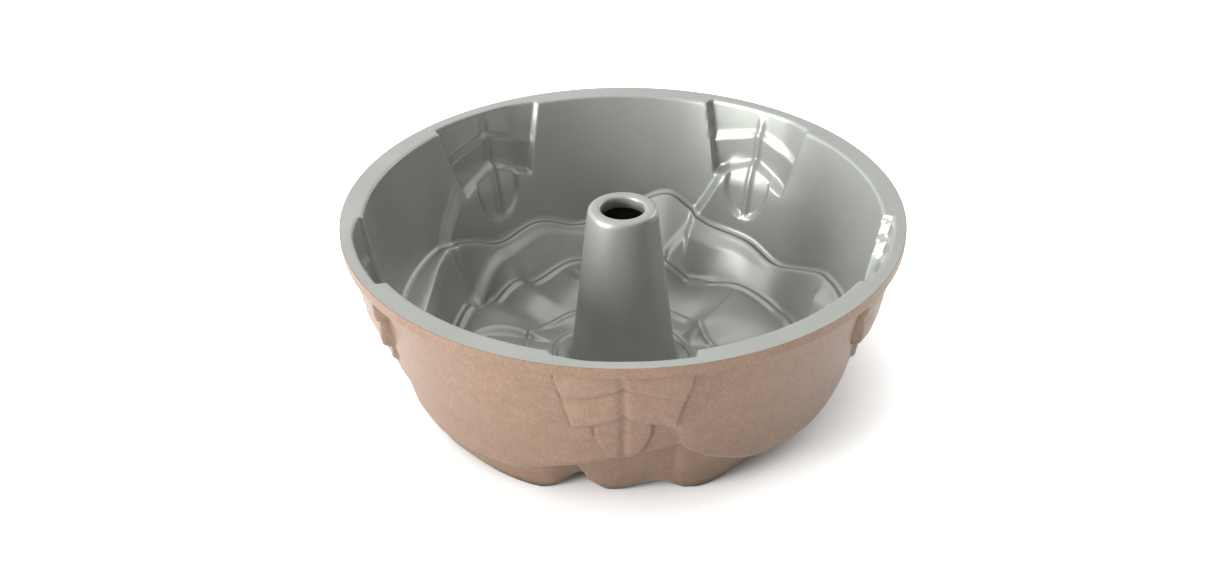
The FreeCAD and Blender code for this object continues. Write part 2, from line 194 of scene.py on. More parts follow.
class PanSizes(bpy.types.PropertyGroup):
    rim_radius: length("Rim radius", "From the axis to the rim's side", round(CAD_HIGH[0], 4))
    height: length("Height", "From the resting plane to the rim", round(CAD_HIGH[2], 5))
    wall: length("Wall", "Thickness of the finished wall", 3.5 * MM)
    coat: length("Coat", "Thickness of each coating", 0.25 * MM)
    rim_thickness: length("Rim thickness", "Height of the rim's side", 5.2 * MM)
    tube_radius: length("Tube radius", "Outside of the centre tube, at its top", 15.9 * MM)
    leaf_relief: length("Leaf relief", "How far a leaf stands out of the petals", 4.4 * MM)
    midrib_depth: length("Midrib depth", "Depth of the groove along a leaf's middle", 1.1 * MM)


class PanColours(bpy.types.PropertyGroup):
    lining: colour("Lining", "Satin non-stick coating", "999C96")
    lining_pale: colour("Lining, pale", "The coating where it is thinnest", "A3A6A0")
    finish: colour("Finish", "Rose-gold binder of the metallic coating", "745C4B")
    finish_flake: colour("Finish flakes", "Bright flakes in the metallic coating", "937E6D")
    # The tube's inside is given a dark colour: painted shade, since little light reaches into it.
    hollow: colour("Tube's inside", "Thin overspray inside the centre tube", "35312F")
    casting: colour("Casting", "Bare cast aluminium", "B9B8B4")
    floor: colour("Floor", "Pale studio floor", "F4F4F3")


# ---- small curves, over arrays of angles ----
def smooth(x):
    x = np.clip(x, 0.0, 1.0)
    return x * x * (3.0 - 2.0 * x)


def rise(x, width):
    """0 to 1 as x passes 0, over a given width."""
    return smooth(x / width + 0.5)


def mix(a, b, share):
    return a + (b - a) * share


def line(away):
    """1 on a line and 0 away from it."""
    return np.exp(-(away / CREASE_WIDTH) ** 2)


def wave(points, angle):
    """A smooth closed curve around the axis through (angle, value) points."""
    x = np.array([place + turn for turn in (-360.0, 0.0, 360.0) for place, value in points])
    y = np.array([value for turn in range(3) for place, value in points])
    at = (angle - points[0][0]) % 360.0 + points[0][0]
    index = np.searchsorted(x, at, side="right") - 1
    span = x[1:] - x[:-1]
    grade = (y[1:] - y[:-1]) / span
    product = grade[:-1] * grade[1:]
    total = np.where(product > 0, grade[:-1] + grade[1:], 1.0)
    slope = np.concatenate([[0.0], np.where(product > 0, 2.0 * product / total, 0.0), [0.0]])
    t = (at - x[index]) / span[index]
    start = t * (1 - t) ** 2 * span[index] * slope[index]
    end = t * t * (t - 1) * span[index] * slope[index + 1]
    return mix(y[index], y[index + 1], smooth(t)) + start + end


def leaf_side(angle):
    """The angle from the middle of the nearest leaf."""
    return (angle + PITCH / 2) % PITCH - PITCH / 2


def overlap(angle, free_sides, share, tuck):
    """0 on a petal's free side, 1 where its other side tucks under the next petal."""
    sides = [mix(top, foot, share) for top, foot in free_sides]
    result = np.zeros_like(angle)
    for start, end in zip(sides, sides[1:] + [sides[0] + 360.0]):
        along = (angle - start) % 360.0
        width = end - start
        tucked = np.clip(along / width, 0.0, 1.0) ** tuck * smooth((width - along) / OVERLAP_EDGE)
        result = np.where(along < width, tucked, result)
    return result


# ---- the relief ----
class Relief:
    """The pan's section at every angle, as rows of stations that rounded() turns into a surface.

    A station is (radius, depth under the rim, angle, way to the metal, rows to the next one)."""

    def __init__(self, sizes, angle):
        self.angle = angle
        self.rim = sizes.rim_radius / MM
        self.height = sizes.height / MM
        self.wall = sizes.wall / MM
        self.coat = sizes.coat / MM
        self.rim_thickness = sizes.rim_thickness / MM
        self.tube = sizes.tube_radius / MM
        self.leaf = sizes.leaf_relief / MM
        self.midrib = sizes.midrib_depth / MM
        self.crease = 0.0
        self.mouth = self.rim - RIM_OVERHANG - self.wall - self.leaf
        self.cavity = self.height - self.wall
        self.foot_depth = self.cavity - TUBE_FOOT_RISE
        self.foot_radius = self.tube_radius(self.foot_depth)
        self.bore = self.tube - TUBE_LIP_WIDTH
        self.ceiling = BORE_LENGTH + CEILING_THICKNESS
        self.stretch = self.cavity / PATTERN_DEPTH
        base = self.mouth - WALL_DRAFT * self.cavity
        self.spread = (base - self.foot_radius) / (PATTERN_BASE - PATTERN_TUBE_FOOT)

    def at(self, radius, depth, way, rows):
        return (radius, depth, self.angle, way, rows)

    def tube_radius(self, depth):
        return self.tube + TUBE_DRAFT * depth

    def edge_depth(self, points):
        return wave(points, self.angle) * self.stretch

    def edge_radius(self, points):
        return self.foot_radius + (wave(points, self.angle) - PATTERN_TUBE_FOOT) * self.spread

    def leaf_relief(self, angle, depth):
        """How far the wall is pushed out at a leaf: three pairs of lobes and a midrib."""
        side = leaf_side(angle)
        across = np.abs(side)
        degree = math.radians(1.0) * self.mouth
        depth = depth / self.stretch
        half = LEAF_HALF_ANGLE - LEAF_TAPER * depth
        fall = (across / LEAF_HALF_ANGLE) ** VEIN_CURVE
        vein_1 = FIRST_VEIN_DEPTH + VEIN_1_FALL * fall
        vein_2 = SECOND_VEIN_DEPTH + VEIN_2_FALL * fall
        beyond = np.maximum(0.0, depth - LEAF_SHOULDER_DEPTH) / (LEAF_LENGTH - LEAF_SHOULDER_DEPTH)
        tip_half = LEAF_TIP_HALF_ANGLE * np.sqrt(np.maximum(0.0, 1.0 - beyond ** 2))
        blade = rise((half - across) * degree, RELIEF_EDGE) * rise(vein_2 - depth, RELIEF_EDGE)
        tip = rise((tip_half - across) * degree, RELIEF_EDGE) * rise(LEAF_LENGTH - depth, RELIEF_EDGE)
        lobe_1 = self.leaf + LOBE_SWELL * np.minimum(1.0, depth / vein_1)
        lobe_2 = self.leaf + LOBE_SWELL - VEIN_STEP * np.maximum(0.0, 1.0 - (depth - vein_1) / LOBE_LENGTH)
        upper = mix(lobe_1, lobe_2, rise(depth - vein_1, VEIN_EDGE))
        lee = 1.0 - LEAF_LEE * smooth((side - LEE_START) / -LEE_SPAN)
        rib = self.midrib * np.exp(-(across * degree / MIDRIB_WIDTH) ** 2) * smooth(depth / MIDRIB_ONSET)
        inside = rise((half - across) * degree + 1.0, 1.0)
        above = rise(vein_2 - depth + 1.0, 1.0)
        lines = [line((half - across) * degree) * above, line(depth - vein_1) * inside,
                 line(vein_2 - depth) * inside,
                 line((tip_half - across) * degree) * rise(depth - vein_2, 1.0)]
        groove = self.crease * np.maximum.reduce(lines) * rise(LEAF_LENGTH + 1.0 - depth, 2.0)
        return np.maximum(blade * (upper * lee - rib), tip * (TIP_RELIEF - rib)) - groove

    def wall_1(self, angle, depth):
        """The outer petals and their leaves."""
        drawn = depth / self.stretch
        grown = smooth((drawn - OVERLAP_1_TOP) / (OVERLAP_1_FULL - OVERLAP_1_TOP))
        share = (drawn - OVERLAP_1_TOP) / (wave(EDGE_1_DEPTH, angle) - OVERLAP_1_TOP)
        tucked = OVERLAP_1 * grown * overlap(angle, FREE_SIDES_1, share, 5)
        return self.mouth - WALL_DRAFT * depth + self.leaf_relief(angle, depth) - tucked

    def follow(self, depth):
        """Moves a row's points along the wall, so that the mesh follows the leaf's sides and veins."""
        side = leaf_side(self.angle)
        across = np.abs(side)
        drawn = depth / self.stretch
        beyond = np.clip((MESH_RETURN - across) / (MESH_RETURN - LEAF_HALF_ANGLE), 0.0, 1.0)
        within = across / LEAF_HALF_ANGLE
        taper = LEAF_TAPER * np.minimum(drawn, LEAF_SHOULDER_DEPTH)
        taper = taper * (1.0 - smooth((drawn - LEAF_SHOULDER_DEPTH) / (MESH_FOOT - LEAF_SHOULDER_DEPTH)))
        angle = self.angle - np.sign(side) * taper * np.where(across < LEAF_HALF_ANGLE, within, beyond)
        fall = np.interp(drawn, [0.0, FIRST_VEIN_DEPTH, SECOND_VEIN_DEPTH, MESH_FOOT],
                         [0.0, VEIN_1_FALL, VEIN_2_FALL, 0.0])
        moved = np.abs(leaf_side(angle)) / LEAF_HALF_ANGLE
        bend = np.where(across < LEAF_HALF_ANGLE, moved ** VEIN_CURVE,
                        moved.clip(0, 1) ** VEIN_CURVE * smooth(beyond))
        return angle, depth + fall * bend * self.stretch

    def ledge(self, radius, depth, width, way, rows):
        """From the foot of a row, across its ledge, to the lip where the next row starts."""
        inner = radius - width * self.spread
        lip = depth - LEDGE_RISE
        return [self.at(radius - LEDGE_EASE, depth, way, rows),
                self.at(mix(radius, inner, 0.5), mix(depth, lip, 0.4), way, rows),
                self.at(inner + LEDGE_EASE, lip, way, rows),
                self.at(inner - LIP_DRAFT, lip + CORNER, way, rows)]

    def land(self):
        """Across the rim and over into the cavity."""
        mouth = self.wall_1(self.angle, 0.0)
        edge = self.rim - self.coat
        return [self.at(edge, 0.0, DOWN, 1), self.at(mix(edge, mouth, 0.5), 0.0, DOWN, 1),
                self.at(mouth + MOUTH_ROUNDING, 0.0, DOWN, 3), self.at(mouth, 0.0, OUT, 3)]

    def outer_petals(self):
        foot = self.edge_depth(EDGE_1_DEPTH)
        stations = []
        for row in range(WALL_1_ROWS + 1):
            angle, depth = self.follow(mix(MOUTH_ROUNDING, foot - CORNER, row / WALL_1_ROWS))
            stations.append((self.wall_1(angle, depth), depth, angle, OUT, 1))
        radius = self.wall_1(self.angle, foot)
        ledge = self.ledge(radius, foot, wave(LEDGE_1_WIDTH, self.angle), OUT, 3)
        return stations + ledge[:2], ledge[2:]

    def second_row(self, start):
        radius, depth = start
        foot_radius = self.edge_radius(EDGE_2_RADIUS)
        foot = self.edge_depth(EDGE_2_DEPTH)
        stations = []
        for row in range(1, WALL_2_ROWS + 1):
            share = row / WALL_2_ROWS
            tuck = OVERLAP_2 * overlap(self.angle, FREE_SIDES_2, share, 3) * smooth(share * OVERLAP_ONSET)
            place = mix(radius, foot_radius, share) - tuck
            stations.append(self.at(place, mix(depth, foot - CORNER, share), OUT, 1))
        return stations + self.ledge(place - WALL_DRAFT * CORNER, foot, LEDGE_2_WIDTH, OUT, 3)

    def third_row(self, start):
        radius, depth = start
        foot_radius = self.edge_radius(EDGE_3_RADIUS)
        foot = self.edge_depth(EDGE_3_DEPTH)
        stations = []
        for row in range(1, FLOOR_3_ROWS + 1):
            share = row / FLOOR_3_ROWS
            tuck = OVERLAP_3 * overlap(self.angle, FREE_SIDES_3, share, 2) * smooth(share * OVERLAP_ONSET)
            place = mix(depth, foot, share) - FLOOR_HUMP * math.sin(math.pi * share) - tuck
            stations.append(self.at(mix(radius, foot_radius, share), place, (1.0 - share, 1.0), 2))
        return stations + self.ledge(foot_radius - LIP_DRAFT, place + FLOOR_CORNER, LEDGE_3_WIDTH, DOWN, 2)

    def fourth_row(self, start):
        radius, depth = start
        foot_radius = self.edge_radius(EDGE_4_RADIUS)
        foot = self.edge_depth(EDGE_4_DEPTH)
        stations = []
        for row in range(1, FLOOR_4_ROWS + 1):
            share = row / FLOOR_4_ROWS
            stations.append(self.at(mix(radius, foot_radius, share), mix(depth, foot, share), DOWN, 2))
        return stations, self.ledge(foot_radius - LIP_DRAFT, foot + FLOOR_CORNER, LEDGE_4_WIDTH, DOWN, 2)

    def tube_wall(self):
        bend = self.foot_depth - TUBE_FOOT_ROUNDING
        stations = [self.at(self.foot_radius + TUBE_FOOT_ROUNDING, self.foot_depth, (-0.3, 1.0), 2),
                    self.at(self.foot_radius, self.foot_depth - FLOOR_CORNER, (-0.8, 0.8), 2),
                    self.at(self.tube_radius(bend), bend, (-1.0, 0.4), 2)]
        for row in range(TUBE_ROWS + 1):
            depth = mix(bend - 1.5 * TUBE_FOOT_ROUNDING, 1.5 * TUBE_LIP, row / TUBE_ROWS)
            stations.append(self.at(self.tube_radius(depth), depth, INWARD, 2))
        return stations

    def tube_lip(self):
        """Over the tube's rounded lip and a little way down its bore."""
        shoulder = self.tube_radius(TUBE_LIP)
        crown = shoulder - TUBE_LIP_ROUNDING
        return [self.at(shoulder, TUBE_LIP, INWARD, 3),
                self.at(mix(shoulder, crown, 0.2), 0.3 * TUBE_LIP, (-1.0, 1.0), 4),
                self.at(crown, 0.0, DOWN, 4), self.at(mix(shoulder, self.bore, 0.5), 0.0, DOWN, 3),
                self.at(self.bore + BORE_ROUNDING, 0.0, DOWN, 4), self.at(self.bore, BORE_ROUNDING, OUT, 3),
                self.at(self.bore, BORE_LENGTH, (1.0, 0.0), 1)]

    def cavity_face(self):
        """The cooking side, from the rim's edge to the bore, in the groups that pieces are made of."""
        outer, ledge_1 = self.outer_petals()
        second = ledge_1 + self.second_row(ledge_1[-1][:2])
        third = self.third_row(second[-1][:2])
        fourth, ledge_4 = self.fourth_row(third[-1][:2])
        groups = [self.land() + outer, second + third + fourth,
                  ledge_4 + self.tube_wall() + self.tube_lip()]
        return [[(radius, np.minimum(depth, self.cavity), angle, way, rows)
                 for radius, depth, angle, way, rows in group] for group in groups]

    def outside_face(self):
        """The finished outside: the rim's side, then the cavity moved by the wall."""
        outer, inner, tube = self.cavity_face()
        wall = self.wall_1(self.angle, self.rim_thickness) + self.wall
        side = self.rim_thickness - RIM_ROUNDING
        band = [self.at(self.rim, 0.0, (1.0, 0.0), 2), self.at(self.rim, 0.4 * side, (1.0, 0.0), 2),
                self.at(self.rim, side, (1.0, 0.0), 3), self.at(self.rim, self.rim_thickness, OUT, 3),
                self.at(self.rim - RIM_ROUNDING, self.rim_thickness, DOWN, 3),
                self.at(wall + UNDER_RIM_ROUNDING, self.rim_thickness, DOWN, 3),
                self.at(wall, self.rim_thickness + 0.5 * UNDER_RIM_ROUNDING, OUT, 2)]
        hollow = self.tube_radius(self.ceiling) - self.wall
        edge = self.bore + self.coat
        top = [self.at(hollow, self.ceiling + CEILING_ROUNDING, INWARD, 3),
               self.at(hollow - CEILING_ROUNDING, self.ceiling, DOWN, 3),
               self.at(mix(hollow, edge, 0.5), self.ceiling, DOWN, 2), self.at(edge, self.ceiling, DOWN, 1)]
        start = next(index for index, station in enumerate(outer)
                     if np.min(station[1]) > self.rim_thickness - WALL_START)
        lip = len(self.tube_lip())
        moved = [moved_by(group, self.wall) for group in (outer[start:], inner, tube[:-lip])]
        return [band + moved[0], moved[1], moved[2] + top]


def moved_by(stations, distance):
    """Stations moved towards the metal."""
    return [(radius + distance * way[0], depth + distance * way[1], angle, way, rows)
            for radius, depth, angle, way, rows in stations]


def rounded(stations):
    """Rows of (radius, depth, angle) along a smooth curve that the stations pull on.

    It also gives the row that each station's pull is strongest on."""
    poles = np.array([[radius + 0.0 * angle, depth + 0.0 * angle, angle]
                      for radius, depth, angle, way, rows in stations])
    poles = np.concatenate([poles[:1], poles[:1], poles, poles[-1:], poles[-1:]])
    steps = [1] + [station[-1] for station in stations] + [1, 1]
    rows = []
    starts = []
    for index in range(len(poles) - 3):
        a, b, c, d = poles[index:index + 4]
        starts.append(len(rows))
        for step in range(steps[index]):
            t = step / steps[index]
            rows.append(((1 - t) ** 3 * a + (3 * t ** 3 - 6 * t ** 2 + 4) * b
                         + (3 * t + 3 * t ** 2 - 3 * t ** 3 + 1) * c + t ** 3 * d) / 6.0)
    rows.append(poles[-1])
    return rows, starts


def ring_angles(count):
    """Angles around the axis, closer together at the leaves, where the relief is finest."""
    fine = np.linspace(0.0, 360.0, 20 * count + 1)
    crowd = 1.0 + (LEAF_CROWDING - 1.0) * smooth((LEAF_ZONE + 4.0 - np.abs(leaf_side(fine))) / 4.0)
    passed = np.concatenate([[0.0], np.cumsum(0.5 * (crowd[1:] + crowd[:-1]))])
    return np.interp(np.arange(count) * passed[-1] / count, passed, fine)


def placed(rows, height):
    """Points in metres for rows of (radius, depth, angle)."""
    radius, depth, angle = np.array(rows).transpose(1, 0, 2)
    turn = np.radians(angle)
    return np.stack([radius * np.sin(turn), -radius * np.cos(turn), height - depth], axis=-1) * MM


# ---- building tools ----
WELD_DISTANCE = 0.002       # the wrapped sheets' first and last columns are joined within this
COAT_SMOOTH_ANGLE = 55.0    # edges sharper than this stay sharp
CASTING_SMOOTH_ANGLE = 40.0


def only(piece):
    """Selects one object and makes it active, out of edit mode."""
    if bpy.context.mode != "OBJECT":
        bpy.ops.object.mode_set(mode="OBJECT")
    bpy.ops.object.select_all(action="DESELECT")
    piece.select_set(True)
    bpy.context.view_layer.objects.active = piece


def wrapped_sheet(name, points, closed):
    """A grid of faces wrapped round the axis: points[row][column], joined column to column.

    A closed one is joined from its last row to its first as well."""
    bpy.ops.object.select_all(action="DESELECT")
    rows, columns = len(points), len(points[0])
    if closed:
        points = np.concatenate([points, points[:1]])
        rows += 1
    points = np.concatenate([points, points[:, :1]], axis=1)
    bpy.ops.mesh.primitive_grid_add(x_subdivisions=columns, y_subdivisions=rows - 1, size=1.0)
    piece = bpy.context.active_object
    piece.name = name
    piece.data.name = name
    if len(piece.data.vertices) != rows * (columns + 1):
        raise RuntimeError(f"{name}: the grid has {len(piece.data.vertices)} points")
    piece.data.vertices.foreach_set("co", points.reshape(-1))
    piece.data.update()
    only(piece)
    bpy.ops.object.mode_set(mode="EDIT")
    bpy.ops.mesh.select_all(action="SELECT")
    bpy.ops.mesh.remove_doubles(threshold=WELD_DISTANCE * MM)
    bpy.ops.object.mode_set(mode="OBJECT")
    return piece


def turned_outwards(piece):
    """Turns every face of a closed piece outwards."""
    only(piece)
    bpy.ops.object.mode_set(mode="EDIT")
    bpy.ops.mesh.select_all(action="SELECT")
    bpy.ops.mesh.normals_make_consistent(inside=False)
    bpy.ops.object.mode_set(mode="OBJECT")


def coat(name, points, thickness, inward):
    """A coating: its visible face, thickened towards the metal."""
    piece = wrapped_sheet(name, points, closed=False)
    if inward:
        only(piece)
        bpy.ops.object.mode_set(mode="EDIT")
        bpy.ops.mesh.select_all(action="SELECT")
        bpy.ops.mesh.flip_normals()
        bpy.ops.object.mode_set(mode="OBJECT")
    solidify = piece.modifiers.new("thickness", "SOLIDIFY")
    solidify.thickness = thickness
    solidify.offset = -1.0
    only(piece)
    bpy.ops.object.modifier_apply(modifier=solidify.name)
    bpy.ops.object.shade_smooth_by_angle(angle=math.radians(COAT_SMOOTH_ANGLE))
    return piece


def finished(piece, material, slot, *nodes):
    """Gives a piece its material and its body, and hides the CAD nodes it stands for. The slot is not used.
    """
    piece.data.materials.clear()
    piece.data.materials.append(material)
    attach(piece, "root")
    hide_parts(*nodes)
    return piece


# ---- material tools ----
def linear(hex_value):
    """An sRGB hex value as linear RGBA."""
    channels = [int(hex_value[i:i + 2], 16) / 255.0 for i in (0, 2, 4)]
    return [c / 12.92 if c <= 0.04045 else ((c + 0.055) / 1.055) ** 2.4 for c in channels] + [1.0]


def node(tree, kind, settings=None, links=None):
    """Adds a node, sets its properties and sockets, and links its inputs."""
    made = tree.nodes.new(kind)
    for key, value in (settings or {}).items():
        if isinstance(key, str) and hasattr(made, key):
            setattr(made, key, value)
        else:
            made.inputs[key].default_value = value
    for key, source in (links or {}).items():
        tree.links.new(source, made.inputs[key])
    return made


def new_material(name):
    material = bpy.data.materials.new(name)
    material.use_nodes = True
    material.node_tree.nodes.clear()
    return material, material.node_tree


def shaded(tree, settings, links):
    """The surface shader and the output."""
    shader = node(tree, "ShaderNodeBsdfPrincipled", settings, links)
    node(tree, "ShaderNodeOutputMaterial", {}, {"Surface": shader.outputs["BSDF"]})


def ramp(tree, source, stops):
    """A colour ramp through (place, colour) stops."""
    made = node(tree, "ShaderNodeValToRGB", {}, {"Fac": source})
    elements = made.color_ramp.elements
    while len(elements) < len(stops):
        elements.new(0.5)
    for element, (place, value) in zip(elements, stops):
        element.position = place
        element.color = value
    return made.outputs["Color"]


def per_metre(size_mm):
    """Pattern scale for details of a real size in millimetres."""
    return 1.0 / (size_mm * MM)


def grey(level):
    return (level, level, level, 1)


def painted_crease_shade(tree, source, reach, closed, darkest, clear):
    """Painted shade: darkens a colour in creases, where shade falls, by how open a place is to its
    surroundings within a reach in mm.

    It is darkest where that is under closed, and unchanged over clear."""
    openness = node(tree, "ShaderNodeAmbientOcclusion", {"samples": 8, "Distance": reach * MM})
    shade = ramp(tree, openness.outputs["AO"], [(closed, grey(darkest)), (clear, grey(1))])
    return node(tree, "ShaderNodeMix", {"data_type": "RGBA", "blend_type": "MULTIPLY", 0: 1.0},
                {6: source, 7: shade}).outputs[2]


# Painted shade in creases: how far the lining and the finish are darkened where shade falls.
LINING_PAINTED_SHADE = (9.0, 0.40, 0.55, 0.85)     # reach in mm, closed, darkest, clear
FINISH_PAINTED_SHADE = (5.0, 0.45, 0.35, 0.90)
FLAKE_SIZE = 0.4
FLAKE_SHARE = 0.5           # of the flakes' colour in the brightest flake
FLAKE_ONSET = 0.55          # share of the cells that hold no bright flake


def satin_nonstick(colours):
    """Sprayed and baked PTFE over bead-blasted aluminium.

    The coat levels out, so it is even and satin, with a faint orange peel and a fine pearl."""
    material, tree = new_material("satin_nonstick_ptfe")
    place = node(tree, "ShaderNodeTexCoord").outputs["Object"]
    cloud = node(tree, "ShaderNodeTexNoise", {"Scale": per_metre(38.0), "Detail": 3.0}, {"Vector": place})
    peel = node(tree, "ShaderNodeTexNoise", {"Scale": per_metre(1.1), "Detail": 2.0}, {"Vector": place})
    grain = node(tree, "ShaderNodeTexNoise", {"Scale": per_metre(0.35), "Detail": 1.0}, {"Vector": place})
    tone = ramp(tree, cloud.outputs["Fac"],
                [(0.3, linear(colours.lining)), (0.75, linear(colours.lining_pale))])
    speck = node(tree, "ShaderNodeMix", {"data_type": "RGBA", "blend_type": "SOFT_LIGHT", 0: 0.25},
                 {6: tone, 7: grain.outputs["Fac"]})
    gloss = node(tree, "ShaderNodeMapRange", {"To Min": 0.35, "To Max": 0.41},
                 {"Value": cloud.outputs["Fac"]})
    bump = node(tree, "ShaderNodeBump", {"Strength": 0.10, "Distance": 0.05 * MM},
                {"Height": peel.outputs["Fac"]})
    fine = node(tree, "ShaderNodeBump", {"Strength": 0.10, "Distance": 0.02 * MM},
                {"Height": grain.outputs["Fac"], "Normal": bump.outputs["Normal"]})
    # The lining's base colour is darkened in its creases: painted shade.
    shaded(tree, {"Metallic": 0.5},
           {"Base Color": painted_crease_shade(tree, speck.outputs[2], *LINING_PAINTED_SHADE),
            "Roughness": gloss.outputs["Result"], "Normal": fine.outputs["Normal"]})
    return material


def rose_gold_metallic(colours):
    """Baked high-heat metallic paint, rose gold, with fine aluminium flakes.

    Each flake lies at its own small tilt, so the satin coat has a grainy sparkle."""
    material, tree = new_material("rose_gold_metallic_coat")
    place = node(tree, "ShaderNodeTexCoord").outputs["Object"]
    flakes = node(tree, "ShaderNodeTexVoronoi", {"Scale": per_metre(FLAKE_SIZE)}, {"Vector": place})
    cloud = node(tree, "ShaderNodeTexNoise", {"Scale": per_metre(6.0), "Detail": 4.0}, {"Vector": place})
    pick = node(tree, "ShaderNodeSeparateColor", {}, {"Color": flakes.outputs["Color"]})
    bright = ramp(tree, pick.outputs["Red"], [(FLAKE_ONSET, grey(0)), (1.0, grey(1))])
    share = node(tree, "ShaderNodeMath", {"operation": "MULTIPLY", 1: FLAKE_SHARE}, {0: bright})
    tone = node(tree, "ShaderNodeMix", {"data_type": "RGBA", 6: linear(colours.finish),
                                        7: linear(colours.finish_flake)}, {0: share.outputs[0]})
    aged = node(tree, "ShaderNodeMix", {"data_type": "RGBA", "blend_type": "SOFT_LIGHT", 0: 0.18},
                {6: tone.outputs[2], 7: cloud.outputs["Fac"]})
    gloss = node(tree, "ShaderNodeMapRange", {"To Min": 0.36, "To Max": 0.46},
                 {"Value": pick.outputs["Green"]})
    bump = node(tree, "ShaderNodeBump", {"Strength": 0.16, "Distance": 0.05 * MM},
                {"Height": pick.outputs["Blue"]})
    # The finish's base colour is darkened in its creases: painted shade.
    shaded(tree, {"Metallic": 0.45, "Coat Weight": 0.10, "Coat Roughness": 0.3},
           {"Base Color": painted_crease_shade(tree, aged.outputs[2], *FINISH_PAINTED_SHADE),
            "Roughness": gloss.outputs["Result"], "Normal": bump.outputs["Normal"]})
    return material


def painted_shade_hollow(colours):
    """The tube's inside, where only a thin, dry overspray of the finish reaches; its dark colour is painted
    shade, for the little light that gets into the hollow.
    """
    material, tree = new_material("painted_shade_tube_hollow")
    place = node(tree, "ShaderNodeTexCoord").outputs["Object"]
    cloud = node(tree, "ShaderNodeTexNoise", {"Scale": per_metre(4.0), "Detail": 3.0}, {"Vector": place})
    base = linear(colours.hollow)
    dark = [0.6 * channel for channel in base[:3]] + [1.0]
    tone = ramp(tree, cloud.outputs["Fac"], [(0.35, dark), (0.65, base)])
    shaded(tree, {"Metallic": 0.2, "Roughness": 0.7}, {"Base Color": tone})
    return material


def cast_aluminium(colours):
    """Gravity-cast aluminium, bead blasted: dull, grey and finely pitted."""
    material, tree = new_material("bead_blasted_cast_aluminium")
    place = node(tree, "ShaderNodeTexCoord").outputs["Object"]
    pits = node(tree, "ShaderNodeTexVoronoi", {"Scale": per_metre(0.5)}, {"Vector": place})
    cloud = node(tree, "ShaderNodeTexNoise", {"Scale": per_metre(5.0), "Detail": 3.0}, {"Vector": place})
    base = linear(colours.casting)
    dark = [0.7 * channel for channel in base[:3]] + [1.0]
    tone = ramp(tree, cloud.outputs["Fac"], [(0.35, dark), (0.65, base)])
    bump = node(tree, "ShaderNodeBump", {"Strength": 0.3, "Distance": 0.08 * MM},
                {"Height": pits.outputs["Distance"]})
    shaded(tree, {"Metallic": 1.0, "Roughness": 0.5},
           {"Base Color": tone, "Normal": bump.outputs["Normal"]})
    return material


# The floor's glow is painted light, and its fade under the pan is painted shade.
GLOW_STARTS = 0.08          # metres from the axis: nearer than this the floor doesn't glow
GLOW_FULL = 0.17            # metres from the axis: from here outwards it glows fully
GLOW = 0.68


def studio_floor(colours):
    """Matt white acrylic that glows as painted light around the pan, though it is no lamp; the glow fades
    out under the pan, which leaves painted shade there, so that the shadows on it stay faint.
    """
    material, tree = new_material("glowing_floor_painted_light")
    place = node(tree, "ShaderNodeTexCoord").outputs["Object"]
    fibre = node(tree, "ShaderNodeTexNoise", {"Scale": per_metre(2.0), "Detail": 2.0}, {"Vector": place})
    bump = node(tree, "ShaderNodeBump", {"Strength": 0.05, "Distance": 0.1 * MM},
                {"Height": fibre.outputs["Fac"]})
    away = node(tree, "ShaderNodeVectorMath", {"operation": "LENGTH"}, {0: place})
    glow = node(tree, "ShaderNodeMapRange",
                {"interpolation_type": "SMOOTHSTEP", "From Min": GLOW_STARTS, "From Max": GLOW_FULL,
                 "To Min": 0.0, "To Max": GLOW}, {"Value": away.outputs["Value"]})
    shaded(tree, {"Base Color": linear(colours.floor), "Roughness": 0.9, "Emission Color": grey(1.0)},
           {"Emission Strength": glow.outputs["Result"], "Normal": bump.outputs["Normal"]})
    return material


# ---- operators ----
class PAN_OT_casting(bpy.types.Operator):
    """Builds the aluminium casting under its two coatings"""
    bl_idname = "pan.casting"
    bl_label = "Casting"

    def execute(self, context):
        relief = Relief(context.scene.pan_sizes, ring_angles(CASTING_COLUMNS))
        inset = relief.coat + CASTING_INSET
        cooking = moved_by(sum(relief.cavity_face(), []), inset)
        outer_inset = relief.coat + CASTING_OUTER_INSET
        outside = moved_by(sum(relief.outside_face(), []), -outer_inset)
        bare = relief.bore + relief.coat
        cooking = [relief.at(relief.rim - outer_inset, inset, DOWN, 1)] + cooking[1:-2]
        cooking.append(relief.at(bare, BORE_LENGTH, DOWN, 1))
        outside = outside[1:-1] + [relief.at(bare, relief.ceiling - relief.coat, DOWN, 1)]
        inner, starts = rounded(cooking)
        outer, starts = rounded(outside)
        points = placed(inner + outer[::-1], relief.height)
        piece = wrapped_sheet("pan_casting", points, closed=True)
        turned_outwards(piece)
        bpy.ops.object.shade_smooth_by_angle(angle=math.radians(CASTING_SMOOTH_ANGLE))
        material = cast_aluminium(context.scene.pan_colours)
        finished(piece, material, "cast_aluminium", "aluminium_casting")
        return {"FINISHED"}


def coat_pieces(face, names, relief, inward):
    """Cuts a coated face into its groups, each a coat of its own that meets the next."""
    stations = sum(face, [])
    rows, starts = rounded(stations)
    points = placed(rows, relief.height)
    cuts = [0]
    for group in face[:-1]:
        cuts.append(cuts[-1] + len(group))
    cuts = [0] + [starts[cut] for cut in cuts[1:]] + [len(rows) - 1]
    return [coat(name, points[first:last + 1], relief.coat * MM, inward)
            for name, first, last in zip(names, cuts, cuts[1:])]


class PAN_OT_lining(bpy.types.Operator):
    """Builds the non-stick lining on the cooking side"""
    bl_idname = "pan.lining"
    bl_label = "Non-stick lining"

    def execute(self, context):
        relief = Relief(context.scene.pan_sizes, ring_angles(COLUMNS))
        material = satin_nonstick(context.scene.pan_colours)
        names = ("lining_of_outer_petals", "lining_of_inner_petals", "lining_of_tube")
        for piece in coat_pieces(relief.cavity_face(), names, relief, inward=False):
            finished(piece, material, "nonstick", "nonstick_lining")
        return {"FINISHED"}


